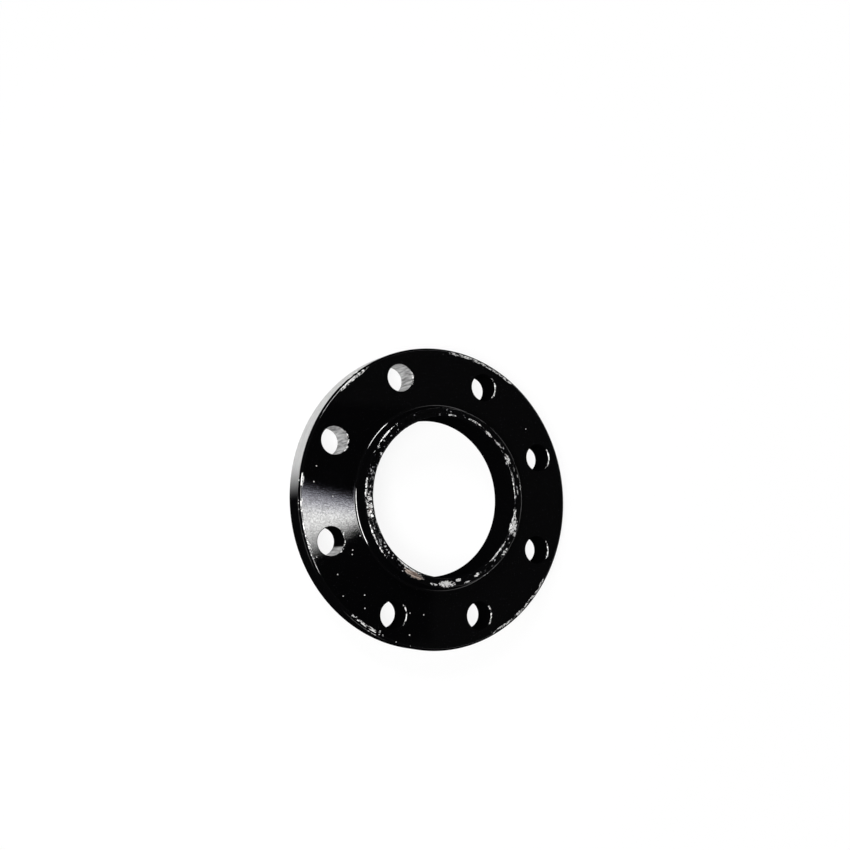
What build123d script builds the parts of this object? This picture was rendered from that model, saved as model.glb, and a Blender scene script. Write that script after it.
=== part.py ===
from build123d import *
import os
from math import radians, tan

# Hubbed slip-on pipe flange, one forged and turned piece of steel.
# Its gasket face lies on Z = 0, the bore runs along Z and the hub points up.
# All lengths are in millimetres and all angles in degrees.

# The plain bore that the pipe slips into before it is welded
bore_diameter = 110.0
bore_mouth_chamfer = 1.0

# The low hub round the bore, with the draft of its forging die
hub_height = 9.0
hub_end_wall = 7.0
hub_draft_angle = 9.0
hub_foot_fillet = 2.5
hub_end_round = 1.2

# The bolt holes, which straddle the two centre lines
bolt_circle_diameter = 175.0
bolt_hole_diameter = 19.0
bolt_hole_count = 8
bolt_hole_edge_break = 0.6

# The round plate that the bolts pull against the other flange
plate_thickness = 18.0
plate_edge_chamfer = 1.6
plate_rim_wall = 8.0  # the steel left between a bolt hole and the plate's edge

# Heights and radii that follow from the sizes above
bore_radius = bore_diameter / 2
plate_radius = (bolt_circle_diameter + bolt_hole_diameter) / 2 + plate_rim_wall
hub_end_radius = bore_radius + hub_end_wall
hub_foot_radius = hub_end_radius + hub_height * tan(radians(hub_draft_angle))
overall_height = plate_thickness + hub_height
half_pitch_angle = 180.0 / bolt_hole_count


def corner(outline, radius, height):
    """Return the corner of the section that lies at this radius and height."""
    return outline.vertices().sort_by_distance((radius, 0, height))[0]


def half_section():
    """Draw the wall of the flange on one side of its axis."""
    gasket_bore_corner = (bore_radius, 0)
    gasket_rim_corner = (plate_radius, 0)
    plate_top_corner = (plate_radius, plate_thickness)
    hub_foot_corner = (hub_foot_radius, plate_thickness)
    hub_end_corner = (hub_end_radius, overall_height)
    hub_bore_corner = (bore_radius, overall_height)
    with BuildSketch(Plane.XZ) as drawing:
        with BuildLine():
            Polyline(
                gasket_bore_corner,
                gasket_rim_corner,
                plate_top_corner,
                hub_foot_corner,
                hub_end_corner,
                hub_bore_corner,
                close=True,
            )
        make_face()
    outline = drawing.sketch
    outline = fillet(corner(outline, *hub_foot_corner), hub_foot_fillet)
    outline = fillet(corner(outline, *hub_end_corner), hub_end_round)
    for rim_corner in (gasket_rim_corner, plate_top_corner):
        outline = chamfer(corner(outline, *rim_corner), plate_edge_chamfer)
    for mouth_corner in (gasket_bore_corner, hub_bore_corner):
        outline = chamfer(corner(outline, *mouth_corner), bore_mouth_chamfer)
    return outline


def bolt_hole():
    """Make the cutter of one bolt hole: a drill, with a cone at each mouth."""
    hole_radius = bolt_hole_diameter / 2
    mouth_radius = hole_radius + bolt_hole_edge_break
    drill = Cylinder(
        radius=hole_radius,
        height=plate_thickness,
        align=(Align.CENTER, Align.CENTER, Align.MIN),
    )
    mouth_cone = Cone(
        bottom_radius=mouth_radius,
        top_radius=hole_radius,
        height=bolt_hole_edge_break,
        align=(Align.CENTER, Align.CENTER, Align.MIN),
    )
    hub_side_cone = Pos(0, 0, plate_thickness) * Rot(180, 0, 0) * mouth_cone
    return drill + mouth_cone + hub_side_cone


def flange_body():
    """Turn the section about the bore's axis and drill the bolt circle."""
    body = revolve(half_section(), axis=Axis.Z, revolution_arc=360)
    hole_places = PolarLocations(
        radius=bolt_circle_diameter / 2,
        count=bolt_hole_count,
        start_angle=half_pitch_angle,
    )
    cutter = bolt_hole()
    for place in hole_places:
        body = body - place * cutter
    return body


os.makedirs("parts", exist_ok=True)
flange = flange_body()
export_step(flange, "parts/flange.step")
print("flange volume, cm3:", round(flange.volume / 1000, 2))
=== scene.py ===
# %% [markdown]
# # A black pipe flange, worn to steel round its bore
#
# A slip-on pipe flange is one thick steel ring: a plate with a ring of bolt holes, and a low hub
# round the bore that the pipe slips into. It is forged, turned on a lathe, drilled and dipped in
# glossy black enamel, and then it is knocked about in a yard. This notebook makes it in the same
# order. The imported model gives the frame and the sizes, and a finer piece takes its place here.

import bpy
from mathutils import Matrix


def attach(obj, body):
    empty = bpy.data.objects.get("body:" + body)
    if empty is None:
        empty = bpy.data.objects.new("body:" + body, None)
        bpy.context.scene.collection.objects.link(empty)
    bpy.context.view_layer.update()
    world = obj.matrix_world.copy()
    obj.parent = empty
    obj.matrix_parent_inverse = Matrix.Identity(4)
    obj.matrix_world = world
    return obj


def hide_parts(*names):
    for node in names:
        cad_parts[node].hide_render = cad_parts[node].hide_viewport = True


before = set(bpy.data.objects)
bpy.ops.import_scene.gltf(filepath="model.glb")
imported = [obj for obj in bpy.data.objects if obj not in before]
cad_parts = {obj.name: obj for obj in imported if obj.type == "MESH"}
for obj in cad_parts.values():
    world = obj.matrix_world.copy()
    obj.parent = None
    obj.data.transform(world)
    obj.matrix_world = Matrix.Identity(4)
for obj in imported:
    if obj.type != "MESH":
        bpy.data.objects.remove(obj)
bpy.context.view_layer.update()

# %% Tools and units
import math

import bmesh
import bpy
from mathutils import Matrix, Vector, noise

mm = 0.001
scene = bpy.context.scene

# %% [markdown]
# ## The camera
#
# The flange lies on its gasket face and the camera looks down on it from the left, at about 29
# degrees off the bore's axis. The camera is also rolled, so that the bolt holes stand in the
# picture as they do in the photograph. Its place, turn and lens were found by fitting the ellipses
# of the plate, the bore and the holes, so they are written down as they came out of that fit.

# %% Place the camera
camera_place = Vector((-0.36536, -0.05446, 0.68361))
picture_right = Vector((0.88203, 0.02603, 0.47047))
picture_up = Vector((-0.08718, 0.99025, 0.10864))
lens_length = 46.303
sensor_side = 36.0

camera_data = bpy.data.cameras.new("camera")
camera_data.lens = lens_length
camera_data.sensor_width = sensor_side
camera_data.clip_start = 0.01
camera = bpy.data.objects.new("camera", camera_data)
scene.collection.objects.link(camera)
camera.location = camera_place
picture_back = picture_right.cross(picture_up)
camera_axes = Matrix((picture_right, picture_up, picture_back)).transposed()
camera.rotation_euler = camera_axes.to_euler()
scene.camera = camera
print("camera off the bore's axis, degrees:", round(math.degrees(picture_back.angle((0, 0, 1))), 1))

# %% [markdown]
# ## The sizes
#
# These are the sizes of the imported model, in metres. Two more are added that only the eye needs:
# the small round that a coat of enamel leaves on every turned edge, and how finely the lathe's
# circle is divided.

# %% Sizes of the turned body
bore_radius = 55.0 * mm
bore_mouth_chamfer = 1.0 * mm
plate_radius = 105.0 * mm
plate_thickness = 18.0 * mm
plate_edge_chamfer = 1.6 * mm
hub_height = 9.0 * mm
hub_end_radius = 62.0 * mm
hub_draft_angle = math.radians(9)
hub_foot_fillet = 2.5 * mm
hub_end_round = 1.2 * mm
edge_softness = 0.25 * mm
turning_steps = 576

overall_height = plate_thickness + hub_height
hub_foot_radius = hub_end_radius + hub_height * math.tan(hub_draft_angle)
print("hub foot radius, mm:", round(hub_foot_radius / mm, 2))

# %% [markdown]
# ## Working in edit mode
#
# Every operator acts on what is selected, so two helpers do most of the work: one starts a piece
# from a primitive with nothing else selected, and one picks points, edges or faces by where their
# middle lies. That keeps the steps readable: pick a place, then do one thing to it.

# %% Helpers for starting a piece and picking parts of it
def start_piece(add_primitive, name, **settings):
    """Add one primitive, alone in the selection, under its own name."""
    bpy.ops.object.select_all(action="DESELECT")
    add_primitive(**settings)
    piece = bpy.context.object
    piece.name = name
    piece.data.name = name
    bpy.ops.object.transform_apply(location=True, rotation=True, scale=True)
    return piece


def middle_of(element):
    """Return the middle of a point, an edge or a face."""
    if isinstance(element, bmesh.types.BMVert):
        return element.co
    if isinstance(element, bmesh.types.BMEdge):
        return (element.verts[0].co + element.verts[1].co) / 2
    return element.calc_center_median()


def pick(kind, rule):
    """In edit mode, select each VERT, EDGE or FACE whose middle meets the rule."""
    bpy.ops.mesh.select_mode(type=kind)
    bpy.ops.mesh.select_all(action="DESELECT")
    mesh = bpy.context.object.data
    work = bmesh.from_edit_mesh(mesh)
    elements = {"VERT": work.verts, "EDGE": work.edges, "FACE": work.faces}[kind]
    for element in elements:
        if rule(middle_of(element)):
            element.select = True
    work.select_flush_mode()
    bmesh.update_edit_mesh(mesh)


def near(value, target, slack=0.005 * mm):
    """True if two lengths are the same, within a hair."""
    return abs(value - target) < slack


# %% [markdown]
# ## Drawing the half section
#
# A turned part could be cut from a cylinder, ring by ring. Drawing half of its section and
# spinning that about the bore's axis is closer to the lathe, and it keeps all the sizes in one
# small outline. The plate's section is a rectangle, and the hub is extruded up from its inner end
# and drawn in at the top, which gives it the draft of the forging die.

# %% Draw the plate and pull up the hub
section_middle = ((bore_radius + plate_radius) / 2, 0, plate_thickness / 2)
flange = start_piece(
    bpy.ops.mesh.primitive_plane_add,
    "painted_flange",
    size=1,
    location=section_middle,
    rotation=(math.pi / 2, 0, 0),
)
bpy.ops.object.mode_set(mode="EDIT")
bpy.ops.mesh.select_all(action="SELECT")
bpy.ops.transform.resize(
    value=(plate_radius - bore_radius, 1, plate_thickness),
    center_override=section_middle,
)
bpy.ops.mesh.bisect(plane_co=(hub_foot_radius, 0, 0), plane_no=(1, 0, 0))
pick("EDGE", lambda at: near(at.z, plate_thickness) and at.x < hub_foot_radius)
bpy.ops.mesh.extrude_region_move(TRANSFORM_OT_translate={"value": (0, 0, hub_height)})
pick("VERT", lambda at: near(at.z, overall_height) and near(at.x, hub_foot_radius))
bpy.ops.transform.translate(value=(hub_end_radius - hub_foot_radius, 0, 0))
bpy.ops.mesh.select_all(action="SELECT")
bpy.ops.mesh.dissolve_limited(angle_limit=math.radians(1))
print("corners of the half section:", len(bmesh.from_edit_mesh(flange.data).verts))

# %% [markdown]
# ## Softening the corners
#
# Rounds and chamfers are cut into the outline before it is spun. A bevel on a point reaches along
# both of its edges: for a chamfer that is its leg, and for a round it follows from the radius and
# the angle that the edges turn through. The ends of each chamfer are then eased by a hair, because
# enamel never leaves a knife edge, and a sharp edge would catch no light.

# %% Cut the rounds, the chamfers and the eased edges
def soften(radius, height, reach, steps):
    """Bevel the corner of the outline that lies at this radius and height."""
    pick("VERT", lambda at: near(at.x, radius) and near(at.z, height))
    bpy.ops.mesh.bevel(offset=reach, segments=steps, affect="VERTICES")


hub_turn = math.pi / 2 - hub_draft_angle
reach_of_round = math.tan(hub_turn / 2)
soften(hub_foot_radius, plate_thickness, hub_foot_fillet * reach_of_round, 8)
soften(hub_end_radius, overall_height, hub_end_round * reach_of_round, 5)
for height in (0, overall_height):
    soften(bore_radius, height, bore_mouth_chamfer, 1)
for height in (0, plate_thickness):
    soften(plate_radius, height, plate_edge_chamfer, 1)

chamfer_ends = [
    (bore_radius + bore_mouth_chamfer, 0),
    (bore_radius, bore_mouth_chamfer),
    (bore_radius, overall_height - bore_mouth_chamfer),
    (bore_radius + bore_mouth_chamfer, overall_height),
    (plate_radius - plate_edge_chamfer, 0),
    (plate_radius, plate_edge_chamfer),
    (plate_radius, plate_thickness - plate_edge_chamfer),
    (plate_radius - plate_edge_chamfer, plate_thickness),
]
for radius, height in chamfer_ends:
    soften(radius, height, edge_softness, 2)
print("points of the softened outline:", len(bmesh.from_edit_mesh(flange.data).verts))

# %% [markdown]
# ## Dividing the outline
#
# The long straight runs need points of their own, so that wear and torn steel can be raised on
# them later. The hub's end and the mouth of the bore are divided finely, because they are the
# roughest places, and the gasket face, which stays flat, only coarsely.

# %% Divide the long runs of the outline
def divide(rule, spacing):
    """Divide the longest run that meets the rule into steps of about this length."""
    pick("EDGE", rule)
    work = bmesh.from_edit_mesh(bpy.context.object.data)
    picked = [edge for edge in work.edges if edge.select]
    longest = max(picked, key=lambda edge: edge.calc_length())
    for edge in picked:
        edge.select_set(edge is longest)
    bpy.ops.mesh.subdivide(number_cuts=max(1, round(longest.calc_length() / spacing) - 1))


fine_step = 0.5 * mm
plate_step = 1.4 * mm
coarse_step = 4.0 * mm
divide(lambda at: near(at.z, overall_height), fine_step)
divide(lambda at: plate_thickness < at.z < overall_height and at.x > hub_end_radius, fine_step)
divide(lambda at: near(at.x, bore_radius), plate_step)
divide(lambda at: near(at.z, plate_thickness) and at.x > hub_foot_radius, plate_step)
divide(lambda at: near(at.x, plate_radius), plate_step)
divide(lambda at: near(at.z, 0), coarse_step)
print("points to turn:", len(bmesh.from_edit_mesh(flange.data).verts))

# %% [markdown]
# ## Turning the body
#
# The outline is turned once round the bore's axis by a Screw modifier without any pitch. The Spin
# operator would do the same, but it takes far longer with this many steps. Only the outline's edge
# may turn, so its face goes first, or it would be left inside the steel as a wall. The normals are
# then worked out afresh, because a turned outline can have them pointing into the steel.

# %% Turn the outline
def apply_modifier(piece, kind, **settings):
    """Add one modifier to a piece and apply it at once."""
    bpy.ops.object.select_all(action="DESELECT")
    piece.select_set(True)
    bpy.context.view_layer.objects.active = piece
    modifier = piece.modifiers.new(kind.title(), kind)
    for setting, value in settings.items():
        setattr(modifier, setting, value)
    bpy.ops.object.modifier_apply(modifier=modifier.name)


bpy.ops.mesh.select_all(action="SELECT")
bpy.ops.mesh.delete(type="ONLY_FACE")
bpy.ops.object.mode_set(mode="OBJECT")
apply_modifier(
    flange,
    "SCREW",
    axis="Z",
    angle=2 * math.pi,
    screw_offset=0,
    steps=turning_steps,
    render_steps=turning_steps,
    use_merge_vertices=True,
    merge_threshold=0.01 * mm,
)
bpy.ops.object.mode_set(mode="EDIT")
bpy.ops.mesh.select_all(action="SELECT")
bpy.ops.mesh.normals_make_consistent(inside=False)
bpy.ops.object.mode_set(mode="OBJECT")
print("turned faces:", len(flange.data.polygons))

# %% [markdown]
# ## Drilling the bolt circle
#
# The drill is a cylinder with a small cone at each end, which breaks the sharp edge of the hole.
# One is modelled and copied round the bolt circle, and the eight are taken out of the plate
# together. A boolean suits this better than building the holes into the mesh, because the
# shop drills them into a finished ring too.

# %% Model one drill with its edge breaks
bolt_circle_radius = 87.5 * mm
bolt_hole_radius = 9.5 * mm
bolt_hole_edge_break = 0.6 * mm
bolt_hole_count = 8
first_hole_turn = math.pi / bolt_hole_count
drill_sides = 96
overrun = 1.0 * mm

plate_middle = plate_thickness / 2
drill = start_piece(
    bpy.ops.mesh.primitive_cylinder_add,
    "drill",
    vertices=drill_sides,
    radius=bolt_hole_radius,
    depth=plate_thickness - 2 * bolt_hole_edge_break,
    location=(bolt_circle_radius, 0, plate_middle),
)
bpy.ops.object.mode_set(mode="EDIT")
flare = bolt_hole_edge_break + overrun
flare_scale = (bolt_hole_radius + flare) / bolt_hole_radius
for side in (-1, 1):
    pick("FACE", lambda at: (at.z - plate_middle) * side > plate_middle - 2 * bolt_hole_edge_break)
    bpy.ops.mesh.extrude_region_move(TRANSFORM_OT_translate={"value": (0, 0, side * flare)})
    bpy.ops.transform.resize(value=(flare_scale, flare_scale, 1))
bpy.ops.object.mode_set(mode="OBJECT")
print("drill length, mm:", round(drill.dimensions.z / mm, 2))

# %% Copy the drill round the circle and take out the holes
step_between_holes = 2 * math.pi / bolt_hole_count
bpy.ops.transform.rotate(value=first_hole_turn, orient_axis="Z", center_override=(0, 0, 0))
drills = [drill]
for _ in range(bolt_hole_count - 1):
    bpy.ops.object.duplicate(linked=False)
    bpy.ops.transform.rotate(value=step_between_holes, orient_axis="Z", center_override=(0, 0, 0))
    drills.append(bpy.context.object)
for one in drills:
    one.select_set(True)
bpy.ops.object.join()
bpy.ops.object.transform_apply(location=True, rotation=True, scale=True)
drills = bpy.context.object

apply_modifier(flange, "BOOLEAN", operation="DIFFERENCE", object=drills, solver="MANIFOLD")
bpy.data.objects.remove(drills)


def volume_and_open_edges(piece):
    """Measure the volume of a piece, and count the edges that no two faces share."""
    work = bmesh.new()
    work.from_mesh(piece.data)
    volume = work.calc_volume()
    open_edges = sum(1 for edge in work.edges if len(edge.link_faces) != 2)
    work.free()
    return volume, open_edges


volume, open_edges = volume_and_open_edges(flange)
print("steel, cm3:", round(volume * 1e6, 2), "open edges:", open_edges)

# %% [markdown]
# ## Where the wear and the painted light lie
#
# The pipe end, the grinder and the other flanges have knocked the enamel off round the mouth of
# the bore, along the plate's edge and at the bolt holes. Some of the bright marks there, and the
# grey band on the rim, are painted highlights and reflections, laid on the same way. Each worn
# place is one dab, given by its turn round the axis in degrees, its radius, and its length and
# breadth in millimetres. The radius runs on down the bore's wall, so that a dab can fold over the
# edge. Painting the wear on the mesh, rather than in the material, lets the same dabs raise the
# torn steel as real shape.

# %% Measure a place round the axis
def turn_of(at):
    """Turn of a place round the bore's axis, in degrees from 0 to 360."""
    return math.degrees(math.atan2(at.y, at.x)) % 360


def unrolled_radius(at):
    """Radius of a place, running on down the bore's wall and down the outside of the hub."""
    radius = math.hypot(at.x, at.y)
    below_end = overall_height - at.z
    if radius < bore_radius + bore_mouth_chamfer:
        return radius - below_end
    if radius > hub_end_radius - hub_end_round and at.z > plate_thickness:
        return radius + below_end
    return radius


def turn_apart(first, second):
    """Signed turn from the second to the first, the short way round, in degrees."""
    return (first - second + 180) % 360 - 180


def dab(turn, radius, length, breadth, cover=1.0):
    """Describe one worn place as a rule that weighs any place on the hub or the plate."""
    def weigh(at_turn, at_radius):
        along = math.radians(turn_apart(at_turn, turn)) * radius / (length / 2)
        across = (at_radius / mm - radius) / (breadth / 2)
        return cover * min(1.0, 1.5 * max(0.0, 1 - math.hypot(along, across)))
    return weigh


# %% Dab the bare steel and the painted highlights round the bore's mouth
bare_and_highlight_dabs = [
    # The thin dabs near radius 61 between turns 140 and 219 are partly torn steel and partly
    # painted highlights on the rounded edge of the hub's end.
    dab(turn=177, radius=61.2, length=18, breadth=3.0),
    dab(turn=190, radius=58.6, length=30, breadth=8.5, cover=0.66),
    dab(turn=191, radius=60.6, length=19, breadth=2.4, cover=0.9),
    dab(turn=206, radius=61.3, length=20, breadth=2.2, cover=0.9),
    dab(turn=219, radius=61.9, length=17, breadth=2.0),
    dab(turn=198, radius=55.3, length=32, breadth=2.0, cover=0.8),
    dab(turn=140, radius=61.9, length=22, breadth=2.4),
    dab(turn=150, radius=61.0, length=5, breadth=1.6),
    # The next two are painted glints on the edge of the bore's mouth.
    dab(turn=143, radius=54.9, length=9, breadth=1.4, cover=0.9),
    dab(turn=162, radius=55.4, length=6, breadth=2.0, cover=0.9),
    dab(turn=88, radius=57.0, length=12, breadth=2.0, cover=0.7),
    dab(turn=68, radius=58.0, length=20, breadth=2.6, cover=0.7),
    dab(turn=54, radius=56.6, length=12, breadth=3.0, cover=0.8),
    dab(turn=44, radius=57.2, length=12, breadth=2.0, cover=0.9),
    dab(turn=31, radius=57.3, length=11, breadth=6.0, cover=0.75),
    dab(turn=10, radius=55.2, length=32, breadth=1.8),
    dab(turn=10, radius=61.2, length=9, breadth=2.0, cover=0.7),
    dab(turn=350, radius=56.4, length=14, breadth=3.2),
    dab(turn=342, radius=57.2, length=17, breadth=9.0),
    dab(turn=337, radius=60.8, length=5, breadth=3.0, cover=0.9),
    dab(turn=318, radius=56.2, length=32, breadth=1.7),
    dab(turn=322, radius=60.0, length=14, breadth=4.0, cover=0.6),
    dab(turn=301, radius=62.6, length=12, breadth=2.4, cover=0.8),
    dab(turn=296, radius=58.4, length=7, breadth=3.0),
    dab(turn=287, radius=60.6, length=10, breadth=2.4, cover=0.7),
    dab(turn=281, radius=57.5, length=7, breadth=2.8),
    dab(turn=272, radius=59.6, length=17, breadth=6.6),
    dab(turn=262, radius=60.5, length=12, breadth=2.4, cover=0.7),
    dab(turn=241, radius=56.4, length=30, breadth=1.8),
]
rust_dabs = [
    dab(turn=246, radius=58.6, length=24, breadth=5.6),
    dab(turn=193, radius=58.8, length=16, breadth=5.0, cover=0.55),
]
print("worn places round the mouth:", len(bare_and_highlight_dabs))


# %% [markdown]
# ## Torn steel at the hub's end
#
# The end of the hub was never machined. It was sheared and knocked, so it is lumpy along the ring,
# with ridges that run round with the edge. A displacement by an even texture would look like
# orange skin, so the ridges come from noise that is stretched along the ring, weighted to the
# hub's end and pushed out by a Displace modifier, and strongest where the photograph shows it torn.

# %% Weigh the torn steel and push it out
def ridge_noise(at, along, across, seed=0.0):
    """Noise from -1 to 1 whose lumps are long round the axis and narrow across it."""
    turn = math.atan2(at.y, at.x)
    ring = bore_radius / along
    spread = unrolled_radius(at) / across
    return noise.noise(Vector((math.cos(turn) * ring, math.sin(turn) * ring, spread + seed)))


def fade(value, start, end):
    """Rise smoothly from 0 at start to 1 at end; start may be the larger."""
    share = min(1.0, max(0.0, (value - start) / (end - start)))
    return share * share * (3 - 2 * share)


def push(piece, name, weigh, depth):
    """Weigh every point of a piece by a rule and push it along its normal by weight times depth."""
    group = piece.vertex_groups.new(name=name)
    for point in piece.data.vertices:
        weight = weigh(point.co)
        if weight > 0:
            group.add([point.index], min(1.0, weight), "REPLACE")
    apply_modifier(
        piece, "DISPLACE", direction="NORMAL", vertex_group=name, strength=depth, mid_level=0
    )
    piece.vertex_groups.remove(piece.vertex_groups[name])


torn_dab = dab(turn=192, radius=59.5, length=60, breadth=11)


def torn_share(at):
    """How torn the steel is here: a little all round the hub's end, and most at the left."""
    reach = unrolled_radius(at)
    height = at.z
    if height < plate_thickness + 3 * mm or reach > hub_foot_radius:
        return 0.0
    all_round = fade(reach, bore_radius - 4 * mm, bore_radius - 1 * mm)
    all_round *= fade(height, plate_thickness + 3 * mm, overall_height - 2 * mm)
    return all_round * (0.25 + 0.75 * torn_dab(turn_of(at), reach))


def torn_dent(at):
    """Weigh the hollows between the ridges of the torn steel."""
    share = torn_share(at)
    if share == 0:
        return 0.0
    long_ridges = ridge_noise(at, 6 * mm, 1.3 * mm)
    short_lumps = ridge_noise(at, 1.6 * mm, 1.1 * mm, seed=40)
    return share * (0.45 + 0.6 * long_ridges + 0.4 * short_lumps)


torn_depth = 1.0 * mm
push(flange, "torn", torn_dent, -torn_depth)
print("box after tearing, mm:", [round(v / mm, 2) for v in flange.dimensions])

# %% [markdown]
# ## Painting the wear and the painted light on the mesh
#
# The dabs become two values on every point of the mesh: how bare the steel is, and how rusty.
# The bare value also carries painted light: the rim gets a painted reflection and the plate's edge
# painted highlight lines, from arcs round the axis. The material reads these values later and frays
# them with fine noise, so a soft dab ends as a ragged chip.

# %% Rules for the worn places, the rim's painted reflection and the edge's painted highlights
def arc(turn, reach, feather):
    """Describe an arc round the axis: 1 within its reach in degrees, then fading out."""
    return lambda at_turn: fade(abs(turn_apart(at_turn, turn)), reach + feather, reach - feather)


# The grey band on the rim at the upper left is a painted reflection of the lit floor, laid on as
# rubbed steel.
rim_painted_reflection = arc(turn=146, reach=30, feather=8)
# The arcs on the plate's edge are painted highlight lines along its chamfer, frayed to look like
# chipped enamel.
edge_highlight_arcs = [
    (0.80, arc(turn=132, reach=7, feather=3)),
    (0.95, arc(turn=177, reach=2.5, feather=1)),
    (0.80, arc(turn=186, reach=2.5, feather=1)),
    (0.48, arc(turn=198, reach=9, feather=4)),
    (0.64, arc(turn=239, reach=8, feather=4)),
    (0.58, arc(turn=72, reach=17, feather=5)),
    (0.58, arc(turn=311, reach=18, feather=5)),
]


def bare_and_painted_light_share(at):
    """How bare the steel is at a place, from 0 under sound enamel to 1; the rim's painted
    reflection and the painted highlights on the plate's edge and the hub's end count as bare steel.
    """
    turn = turn_of(at)
    radius = math.hypot(at.x, at.y)
    if radius > plate_radius - 0.1 * mm:
        return rim_painted_reflection(turn)
    if radius > plate_radius - plate_edge_chamfer - 1.5 * mm and at.z > plate_thickness / 2:
        return max(cover * rule(turn) for cover, rule in edge_highlight_arcs)
    if radius < hub_foot_radius + 2 * mm and at.z > plate_thickness - 6 * mm:
        return max(rule(turn, unrolled_radius(at)) for rule in bare_and_highlight_dabs)
    return 0.0


def rust_share(at):
    """How rusty the steel is at a place."""
    if at.z < plate_thickness + 2 * mm:
        return 0.0
    return max(rule(turn_of(at), unrolled_radius(at)) for rule in rust_dabs)


def paint(piece, name, rule):
    """Store what a rule gives for every point of the piece as an attribute."""
    values = [rule(point.co) for point in piece.data.vertices]
    attribute = piece.data.attributes.new(name, "FLOAT", "POINT")
    attribute.data.foreach_set("value", values)
    print(name, "touches points:", sum(1 for value in values if value > 0))


paint(flange, "bare_steel_and_painted_light", bare_and_painted_light_share)
paint(flange, "rust", rust_share)

# %% [markdown]
# ## Writing a finish as sums
#
# A material is a sheet of nodes, and its maths is easier to read as sums. Value wraps one socket
# and turns + - * / into Math nodes, with numbers on either side. Finish makes every other node
# from its type, its settings and the values or links of its sockets.

# %% A value that adds its own Math nodes
class Value:
    """One output socket that can be used in sums."""

    def __init__(self, finish, socket):
        self.finish = finish
        self.socket = socket

    def sum(self, operation, *terms):
        return self.finish.add("ShaderNodeMath", {"operation": operation}, *terms)["Value"]

    def __add__(self, other):
        return self.sum("ADD", self, other)

    def __radd__(self, other):
        return self.sum("ADD", other, self)

    def __sub__(self, other):
        return self.sum("SUBTRACT", self, other)

    def __rsub__(self, other):
        return self.sum("SUBTRACT", other, self)

    def __mul__(self, other):
        return self.sum("MULTIPLY", self, other)

    def __rmul__(self, other):
        return self.sum("MULTIPLY", other, self)

    def __truediv__(self, other):
        return self.sum("DIVIDE", self, other)

    def __pow__(self, other):
        return self.sum("POWER", self, other)

    def at_most(self, other):
        return self.sum("MINIMUM", self, other)

    def at_least(self, other):
        return self.sum("MAXIMUM", self, other)


# %% A finish that adds every other node
class Outputs:
    """The outputs of one node, each handed out as a Value."""

    def __init__(self, finish, node):
        self.finish = finish
        self.node = node

    def __getitem__(self, name):
        return Value(self.finish, self.node.outputs[name])


class Finish:
    """One material and the sheet of nodes that it is written on."""

    def __init__(self, name):
        self.material = bpy.data.materials.new(name)
        self.material.use_nodes = True
        self.tree = self.material.node_tree
        self.tree.nodes.clear()

    def add(self, kind, settings=None, *ordered, **named):
        """Add a node of a kind, set it up, then fill or link its inputs."""
        node = self.tree.nodes.new(kind)
        for setting, value in (settings or {}).items():
            setattr(node, setting, value)
        inputs = list(enumerate(ordered))
        inputs += [(name.replace("_", " "), value) for name, value in named.items()]
        for key, value in inputs:
            if isinstance(value, Value):
                self.tree.links.new(value.socket, node.inputs[key])
            else:
                node.inputs[key].default_value = value
        return Outputs(self, node)

    def blend(self, share, first, second):
        """Mix two colours: the first where share is 0 and the second where it is 1."""
        node = self.tree.nodes.new("ShaderNodeMix")
        node.data_type = "RGBA"
        sockets = (node.inputs[0], node.inputs[6], node.inputs[7])
        for socket, value in zip(sockets, (share, first, second)):
            if isinstance(value, Value):
                self.tree.links.new(value.socket, socket)
            else:
                socket.default_value = value
        mixed_colour = node.outputs[2]
        return Value(self, mixed_colour)

    def step(self, value, start, end):
        """Rise smoothly from 0 to 1 as the value goes from start to end."""
        smooth = {"interpolation_type": "SMOOTHSTEP"}
        node = self.add("ShaderNodeMapRange", smooth, Value=value, From_Min=start, From_Max=end)
        return node["Result"]

    def noise(self, place, size, detail=2.0, roughness=0.5):
        """Noise from 0 to 1 whose lumps are about this long, in metres."""
        return self.add(
            "ShaderNodeTexNoise",
            None,
            Vector=place,
            Scale=1 / size,
            Detail=detail,
            Roughness=roughness,
        )["Fac"]

    def coat(self, surface, *pieces):
        """Connect the surface to the output and put the material on the pieces."""
        self.add("ShaderNodeOutputMaterial", None, Surface=surface)
        for piece in pieces:
            piece.data.materials.clear()
            piece.data.materials.append(self.material)


def grey(level):
    """A neutral colour at this level."""
    return (level, level, level, 1)


# %% [markdown]
# ## Black enamel over steel
#
# The enamel is nearly pure black, so all that shows of it is its gloss. It stands thick and glossy
# on what faces up and ran off the steep walls, where it dried thin and matt. Where the painted
# value and a fine noise together pass a limit, the enamel is gone and the steel shows; the painted
# highlights and reflections are laid on the same way, as steel. The limit is what makes a chip:
# blending paint and steel by the painted value alone would look like dust.

# %% Places on the flange that the finish needs
enamel = Finish("black_enamel")
place = enamel.add("ShaderNodeTexCoord")["Object"]
split = enamel.add("ShaderNodeSeparateXYZ", None, Vector=place)
x, y, z = split["X"], split["Y"], split["Z"]
radius_here = (x * x + y * y) ** 0.5
facing = enamel.add("ShaderNodeNewGeometry")["Normal"]
slope_up = enamel.add("ShaderNodeSeparateXYZ", None, Vector=facing)["Z"]
thick_enamel = enamel.step(slope_up, 0.79, 0.84)


def along_ring(along, across):
    """A place for noise whose lumps are this long round the axis and this wide across it."""
    turns = bore_radius / along
    return enamel.add(
        "ShaderNodeCombineXYZ",
        None,
        X=x / radius_here * turns,
        Y=y / radius_here * turns,
        Z=(radius_here + 2 * z) / across,
    )["Vector"]


print("nodes that say where a place is:", len(enamel.tree.nodes))

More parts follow.
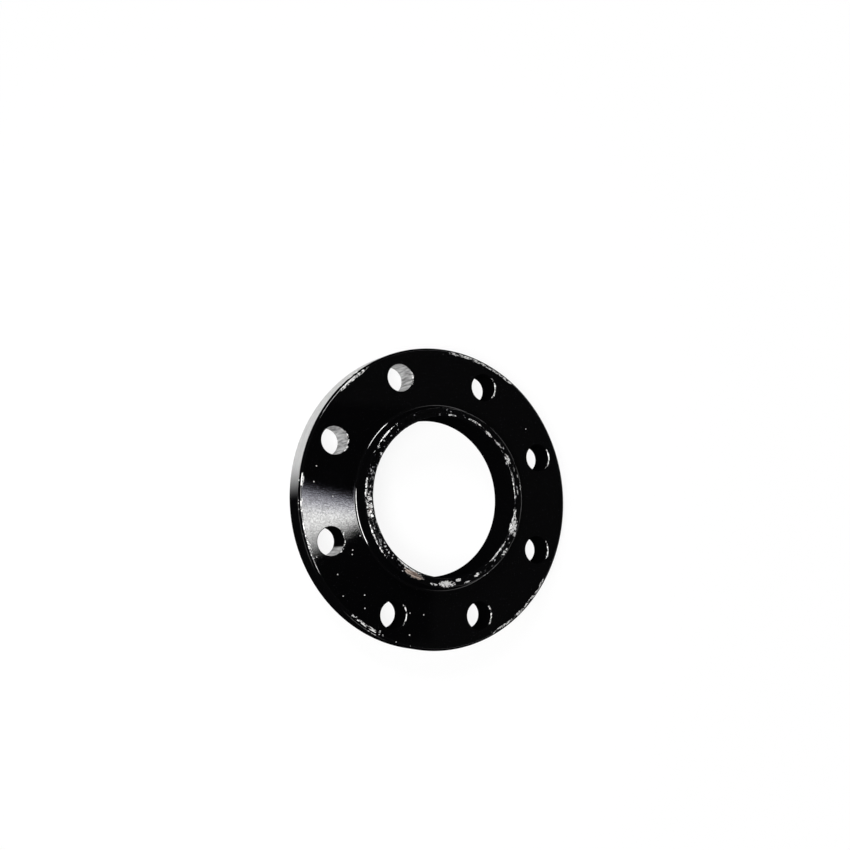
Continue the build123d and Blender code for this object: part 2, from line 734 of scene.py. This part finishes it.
# %% Distance from the nearest bolt hole
hole_pitch = math.radians(360 / bolt_hole_count)
turn_here = y.sum("ARCTAN2", y, x)
hole_number = y.sum("FLOOR", turn_here / hole_pitch)
hole_turn = (hole_number + 0.5) * hole_pitch
from_hole_x = x - y.sum("COSINE", hole_turn) * bolt_circle_radius
from_hole_y = y - y.sum("SINE", hole_turn) * bolt_circle_radius
from_hole = (from_hole_x * from_hole_x + from_hole_y * from_hole_y) ** 0.5
toward_right = from_hole_x / from_hole
toward_top = from_hole_y / from_hole
hole_wall = enamel.step(from_hole, bolt_hole_radius + 0.15 * mm, bolt_hole_radius + 0.05 * mm)
print("degrees from one hole to the next:", round(math.degrees(hole_pitch), 1))

# %% Fray the painted wear and the painted light into chips
bare_and_painted_light_value = enamel.add("ShaderNodeAttribute", {"attribute_name": "bare_steel_and_painted_light"})["Fac"]
ring_fray = enamel.noise(along_ring(2.0 * mm, 0.9 * mm), 1.0, detail=3, roughness=0.7)
fine_fray = enamel.noise(place, 1.3 * mm, detail=1, roughness=0.6)
fray = 1.02 + (ring_fray - 0.5) * 6 + (fine_fray - 0.5) * 4

on_rim = enamel.step(radius_here, plate_radius - 0.20 * mm, plate_radius - 0.05 * mm)
on_edge = enamel.step(radius_here, plate_radius - 2.15 * mm, plate_radius - 2.00 * mm)
# Two thin rings on the chamfer, where the painted highlight lines sit.
inner_highlight_line = enamel.step(radius_here, plate_radius - 1.25 * mm, plate_radius - 1.40 * mm)
outer_highlight_line = enamel.step(radius_here, plate_radius - 0.50 * mm, plate_radius - 0.40 * mm)
edge_highlight_lines = inner_highlight_line.at_least(outer_highlight_line * 0.6)
edge_highlight_share = 1 + on_edge * (edge_highlight_lines - 1)
# The bare value carries the painted highlight lines on the edge and the rim's painted reflection
# along with the chips.
torn = enamel.step(bare_and_painted_light_value * fray * edge_highlight_share, 0.60, 0.72)
torn = torn + on_rim * (bare_and_painted_light_value - torn)
print("nodes up to the chips:", len(enamel.tree.nodes))

# %% [markdown]
# The bolt holes are marked in three ways. Each has small chips along the right of its edge, partly
# chips and burrs and partly painted highlights on the edge breaks. The walls of the two at the
# upper left are painted light grey, a painted reflection of the lit floor laid on as bare steel,
# and the wall of one more is painted so on its lower half.

# %% Chips, painted highlights and painted wall reflections at the bolt holes
# Chips sit on the right of each hole's edge: partly chips and burrs, partly painted highlights on
# the edge breaks that face the camera.
chip_reach = bolt_hole_radius + 1.5 * mm
chip_full = bolt_hole_radius + 0.5 * mm
near_edge = enamel.step(from_hole, chip_reach, chip_full)
on_right = enamel.step(toward_right, 0.45, 0.95)
hole_chips_and_highlights = near_edge * on_right * 0.55 * (1 - hole_wall)
chipped_and_highlit = enamel.step(hole_chips_and_highlights * fray, 0.50, 0.60)

# The bare walls below are a painted reflection of the lit floor, laid on as bare drilled steel.
first_reflecting_wall_turn = math.radians(100)
last_reflecting_wall_turn = math.radians(165)
half_reflecting_wall_turn = math.radians(-150)
border = 0.1
after_first = enamel.step(hole_turn, first_reflecting_wall_turn, first_reflecting_wall_turn + border)
before_last = enamel.step(hole_turn, last_reflecting_wall_turn + border, last_reflecting_wall_turn)
only_half = enamel.step(hole_turn, half_reflecting_wall_turn + border, half_reflecting_wall_turn)
low_on_wall = enamel.step(toward_top, -0.25, -0.45)
low_on_wall = low_on_wall * enamel.step(toward_right, -0.1, 0.1)
wall_painted_reflection = hole_wall * after_first * before_last
wall_painted_reflection = wall_painted_reflection.at_least(hole_wall * low_on_wall * only_half)
print("holes with a bare wall lie from degree", round(math.degrees(first_reflecting_wall_turn)))

# %% Specks and rust
speck_spacing = 10 * mm
specks = enamel.add(
    "ShaderNodeTexVoronoi", {"voronoi_dimensions": "2D"}, Vector=place, Scale=1 / speck_spacing
)
speck_draw = enamel.add("ShaderNodeSeparateColor", None, Color=specks["Color"])["Red"]
low_left = enamel.step(1.5 * x + y, -80 * mm, -150 * mm)
speck = enamel.step(specks["Distance"], 0.055, 0.030) * thick_enamel
speck = speck * enamel.step(speck_draw + 0.55 * low_left, 0.96, 0.98)

rust_paint = enamel.add("ShaderNodeAttribute", {"attribute_name": "rust"})["Fac"]
rust_fray = enamel.noise(along_ring(3.0 * mm, 1.2 * mm), 1.0, detail=4, roughness=0.65)
rust_fray = 1 + (rust_fray - 0.5) * 4
rusty = enamel.step(rust_paint * rust_fray, 0.42, 0.60)
# These masks hold the real wear together with the painted highlights and reflections.
bare_and_painted_light_mask = torn.at_least(chipped_and_highlit).at_least(wall_painted_reflection).at_least(speck)
worn_and_painted_light = bare_and_painted_light_mask.at_least(rusty)
print("nodes up to the masks:", len(enamel.tree.nodes))

# %% Colours
enamel_black = (0.0012, 0.0012, 0.0014, 1)
steel_bright = (0.82, 0.82, 0.81, 1)
steel_dull = (0.50, 0.49, 0.49, 1)
rust_light = (0.37, 0.31, 0.27, 1)
rust_dark = (0.09, 0.065, 0.055, 1)
down_wall = enamel.add("ShaderNodeMapping", None, Vector=place, Scale=(1, 1, 0.12))["Vector"]
drill_streak = enamel.noise(down_wall, 1.6 * mm, detail=3, roughness=0.7)
ring_streak = enamel.noise(along_ring(9.0 * mm, 0.8 * mm), 1.0, detail=4, roughness=0.7)
streak = ring_streak + hole_wall * (drill_streak - ring_streak)
steel_and_painted_reflection_colour = enamel.blend(enamel.step(streak, 0.30, 0.62), steel_dull, steel_bright)
# These greys are the colour of the painted reflection on the hole walls.
wall_reflection_colour = enamel.blend(enamel.step(streak, 0.30, 0.70), grey(0.14), grey(0.62))
# These greys are the colour of the painted reflection on the rim.
rim_reflection_colour = enamel.blend(enamel.step(streak, 0.30, 0.62), grey(0.33), grey(0.45))
steel_and_painted_reflection_colour = enamel.blend(hole_wall, steel_and_painted_reflection_colour, wall_reflection_colour)
steel_and_painted_reflection_colour = enamel.blend(on_rim, steel_and_painted_reflection_colour, rim_reflection_colour)
rust_colour = enamel.blend(enamel.step(ring_streak, 0.38, 0.62), rust_dark, rust_light)
worn_and_painted_light_colour = enamel.blend(rusty, steel_and_painted_reflection_colour, rust_colour)
colour = enamel.blend(worn_and_painted_light, enamel_black, worn_and_painted_light_colour)
print("nodes up to the colour:", len(enamel.tree.nodes))

# %% [markdown]
# ## Gloss and skin
#
# One surface can't be glossy enamel and matt steel at once, so there are two: a matt one with the
# colours of the wear and of the painted highlights and reflections, and a mirror-like black one
# over it. A mix lays the gloss only where the enamel is thick and sound, a little less in every
# fine grain of the spray's spatter.

# %% Gloss
thin_enamel_roughness = 0.5
steel_roughness = 0.42
rust_roughness = 0.8
steel_metal = 0.5
worn_roughness = steel_roughness + rusty * (rust_roughness - steel_roughness)
roughness = thin_enamel_roughness + worn_and_painted_light * (worn_roughness - thin_enamel_roughness)
metal = bare_and_painted_light_mask * (1 - rusty) * steel_metal

spatter_size = 0.9 * mm
spatter_matt = 0.36
spatter = enamel.add("ShaderNodeTexVoronoi", None, Vector=place, Scale=1 / spatter_size)
spatter_share = enamel.add("ShaderNodeSeparateColor", None, Color=spatter["Color"])["Blue"]
gloss = (1 - worn_and_painted_light) * thick_enamel * (1 - spatter_matt * spatter_share)
print("nodes up to the gloss:", len(enamel.tree.nodes))

# %% Skin of the enamel
peel_size = 0.9 * mm
peel_height = 0.005 * mm
ring_pitch = 1.1 * mm
ring_height = 0.002 * mm
edge_step = 0.06 * mm
grain_height = 0.05 * mm
peel = enamel.noise(place, peel_size, detail=1.0)
rings = enamel.noise(along_ring(30 * mm, ring_pitch), 1.0, detail=1.0)
grain = enamel.noise(place, 0.7 * mm, detail=3, roughness=0.7)
height = peel * peel_height + rings * ring_height + worn_and_painted_light * (grain * grain_height - edge_step)
skin = enamel.add("ShaderNodeBump", None, Height=height, Distance=1.0, Strength=1.0)["Normal"]
print("height of the enamel's skin, mm:", round(peel_height / mm, 4))

# %% The finished enamel
matt_surface = enamel.add(
    "ShaderNodeBsdfPrincipled",
    None,
    Base_Color=colour,
    Roughness=roughness,
    Metallic=metal,
    Normal=skin,
    Specular_IOR_Level=0.0,
)
glossy_surface = enamel.add(
    "ShaderNodeBsdfPrincipled",
    None,
    Base_Color=enamel_black,
    Roughness=0.02,
    IOR=2.0,
    Normal=skin,
)
mixed = enamel.add("ShaderNodeMixShader", None, gloss, matt_surface["BSDF"], glossy_surface["BSDF"])
enamel.coat(mixed["Shader"], flange)
print("nodes in the enamel:", len(enamel.tree.nodes))

# %% Smooth the turned faces and put the piece in the node's place
bpy.ops.object.select_all(action="DESELECT")
flange.select_set(True)
bpy.context.view_layer.objects.active = flange
bpy.ops.object.shade_smooth_by_angle(angle=math.radians(32))
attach(flange, "root")
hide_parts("flange")
print("triangles:", sum(len(face.vertices) - 2 for face in flange.data.polygons))

# %% [markdown]
# ## Floor and light
#
# The floor is a wide white dish: flat under the flange, with its edge turned up far away, so that
# a low camera also sees white behind the flange. Close to the flange a small share of it is lit
# paper, which keeps a faint shadow, and the rest is plain white for what looks at it or mirrors
# it. Further out it is all plain white.

# %% Make the white floor
floor_radius = 3.0
floor_bank = 0.9
floor_edge_rise = 1.1
floor = start_piece(
    bpy.ops.mesh.primitive_circle_add,
    "studio_floor",
    vertices=96,
    radius=floor_radius,
    fill_type="NGON",
)
bpy.ops.object.mode_set(mode="EDIT")
bpy.ops.mesh.select_mode(type="FACE")
bpy.ops.mesh.select_all(action="SELECT")
bpy.ops.mesh.inset(thickness=floor_bank)
pick("EDGE", lambda at: math.hypot(at.x, at.y) > floor_radius - 0.1)
bpy.ops.transform.translate(value=(0, 0, floor_edge_rise))
pick("EDGE", lambda at: near(math.hypot(at.x, at.y), floor_radius - floor_bank, 0.02))
bpy.ops.mesh.bevel(offset=0.7, segments=8, affect="EDGES")
bpy.ops.object.mode_set(mode="OBJECT")
bpy.ops.object.shade_smooth()

paper = Finish("white_floor")
paper_white = grey(0.92)
floor_place = paper.add("ShaderNodeTexCoord")["Object"]
out = paper.add("ShaderNodeVectorMath", {"operation": "LENGTH"}, Vector=floor_place)["Value"]
ray = paper.add("ShaderNodeLightPath")
seen = ray["Is Camera Ray"].at_least(ray["Is Glossy Ray"]).at_least(ray["Is Transmission Ray"])
near_share = 0.90
far_white = (near_share + paper.step(out, 0.11, 0.42) * (1 - near_share)) * seen
lit = paper.add("ShaderNodeBsdfDiffuse", None, Color=paper_white)["BSDF"]
white = paper.add("ShaderNodeEmission", None, Color=grey(1.0), Strength=1.0)["Emission"]
paper.coat(paper.add("ShaderNodeMixShader", None, far_white, lit, white)["Shader"], floor)

# %% Hang two softboxes
def softbox(name, direction, distance, side_x, side_y, power):
    """Hang one flat lamp in a direction from the flange, facing it."""
    data = bpy.data.lights.new(name, "AREA")
    data.shape = "RECTANGLE"
    data.size = side_x
    data.size_y = side_y
    data.energy = power
    lamp = bpy.data.objects.new(name, data)
    scene.collection.objects.link(lamp)
    toward = Vector(direction).normalized()
    lamp.location = toward * distance
    lamp.rotation_euler = toward.to_track_quat("Z", "Y").to_euler()
    lamp.visible_camera = False
    return lamp


lamp_distance = 3.0
softbox("left_softbox", (-0.80, -0.30, 1.0), lamp_distance, 2.0, 1.0, 104)
softbox("top_softbox", (-0.35, 0.73, 0.585), lamp_distance, 1.1, 0.8, 46)

# %% [markdown]
# ## The sheen
#
# The broad grey sheen on the left of the plate is one softbox mirrored in the enamel. It is
# brightest in the middle and fades out up and down, and both borders slope. So the softbox is a
# white panel whose light rises from none at a border line to all of it at a second line.

# %% Hang the panel that makes the sheen
panel_middle = Vector((1.06, 0.12, 2.718))
panel_side = 0.8
panel = start_piece(
    bpy.ops.mesh.primitive_plane_add,
    "sheen_panel",
    size=panel_side,
    location=panel_middle,
    rotation=(math.pi, 0, 0),
)
panel.visible_camera = False

glow = Finish("panel_light")
panel_split = glow.add(
    "ShaderNodeSeparateXYZ", None, Vector=glow.add("ShaderNodeTexCoord")["Object"]
)
panel_x, panel_y = panel_split["X"], panel_split["Y"]


sheen_left = 1.0
least_gap = 0.03


def slanting(height, rise):
    """A line across the panel, by its height at the left and its rise toward the right."""
    return height + (panel_x - sheen_left) * rise


top_border = slanting(0.228, -0.17)
full_below = slanting(0.137, 0.0)
bottom_border = slanting(-0.010, 0.60)
full_above = slanting(0.105, 0.25)
top_share = (top_border - panel_y) / (top_border - full_below)
bottom_share = (panel_y - bottom_border) / (full_above - bottom_border).at_least(least_gap)
top_share = top_share.at_least(0).at_most(1)
bottom_share = bottom_share.at_least(0).at_most(1)
panel_colour = glow.blend(top_share, (0.82, 0.82, 1.0, 1), (1.0, 1.0, 0.99, 1))
panel_strength = 7.8
glow_strength = top_share * bottom_share * panel_strength
light = glow.add("ShaderNodeEmission", None, Color=panel_colour, Strength=glow_strength)
glow.coat(light["Emission"], panel)
print("side of the sheen's panel, m:", panel_side)

# %% Light the room a little
room_grey = grey(0.012)
world = bpy.data.worlds.new("studio")
world.use_nodes = True
world.node_tree.nodes["Background"].inputs["Color"].default_value = room_grey
scene.world = world
print("level of the room:", room_grey[0])

# %% [markdown]
# ## The finished scene
#
# The colours are shown as they are, with the standard view transform.

# %% Set the view transform
scene.view_settings.view_transform = "Standard"
bpy.context.view_layer.update()
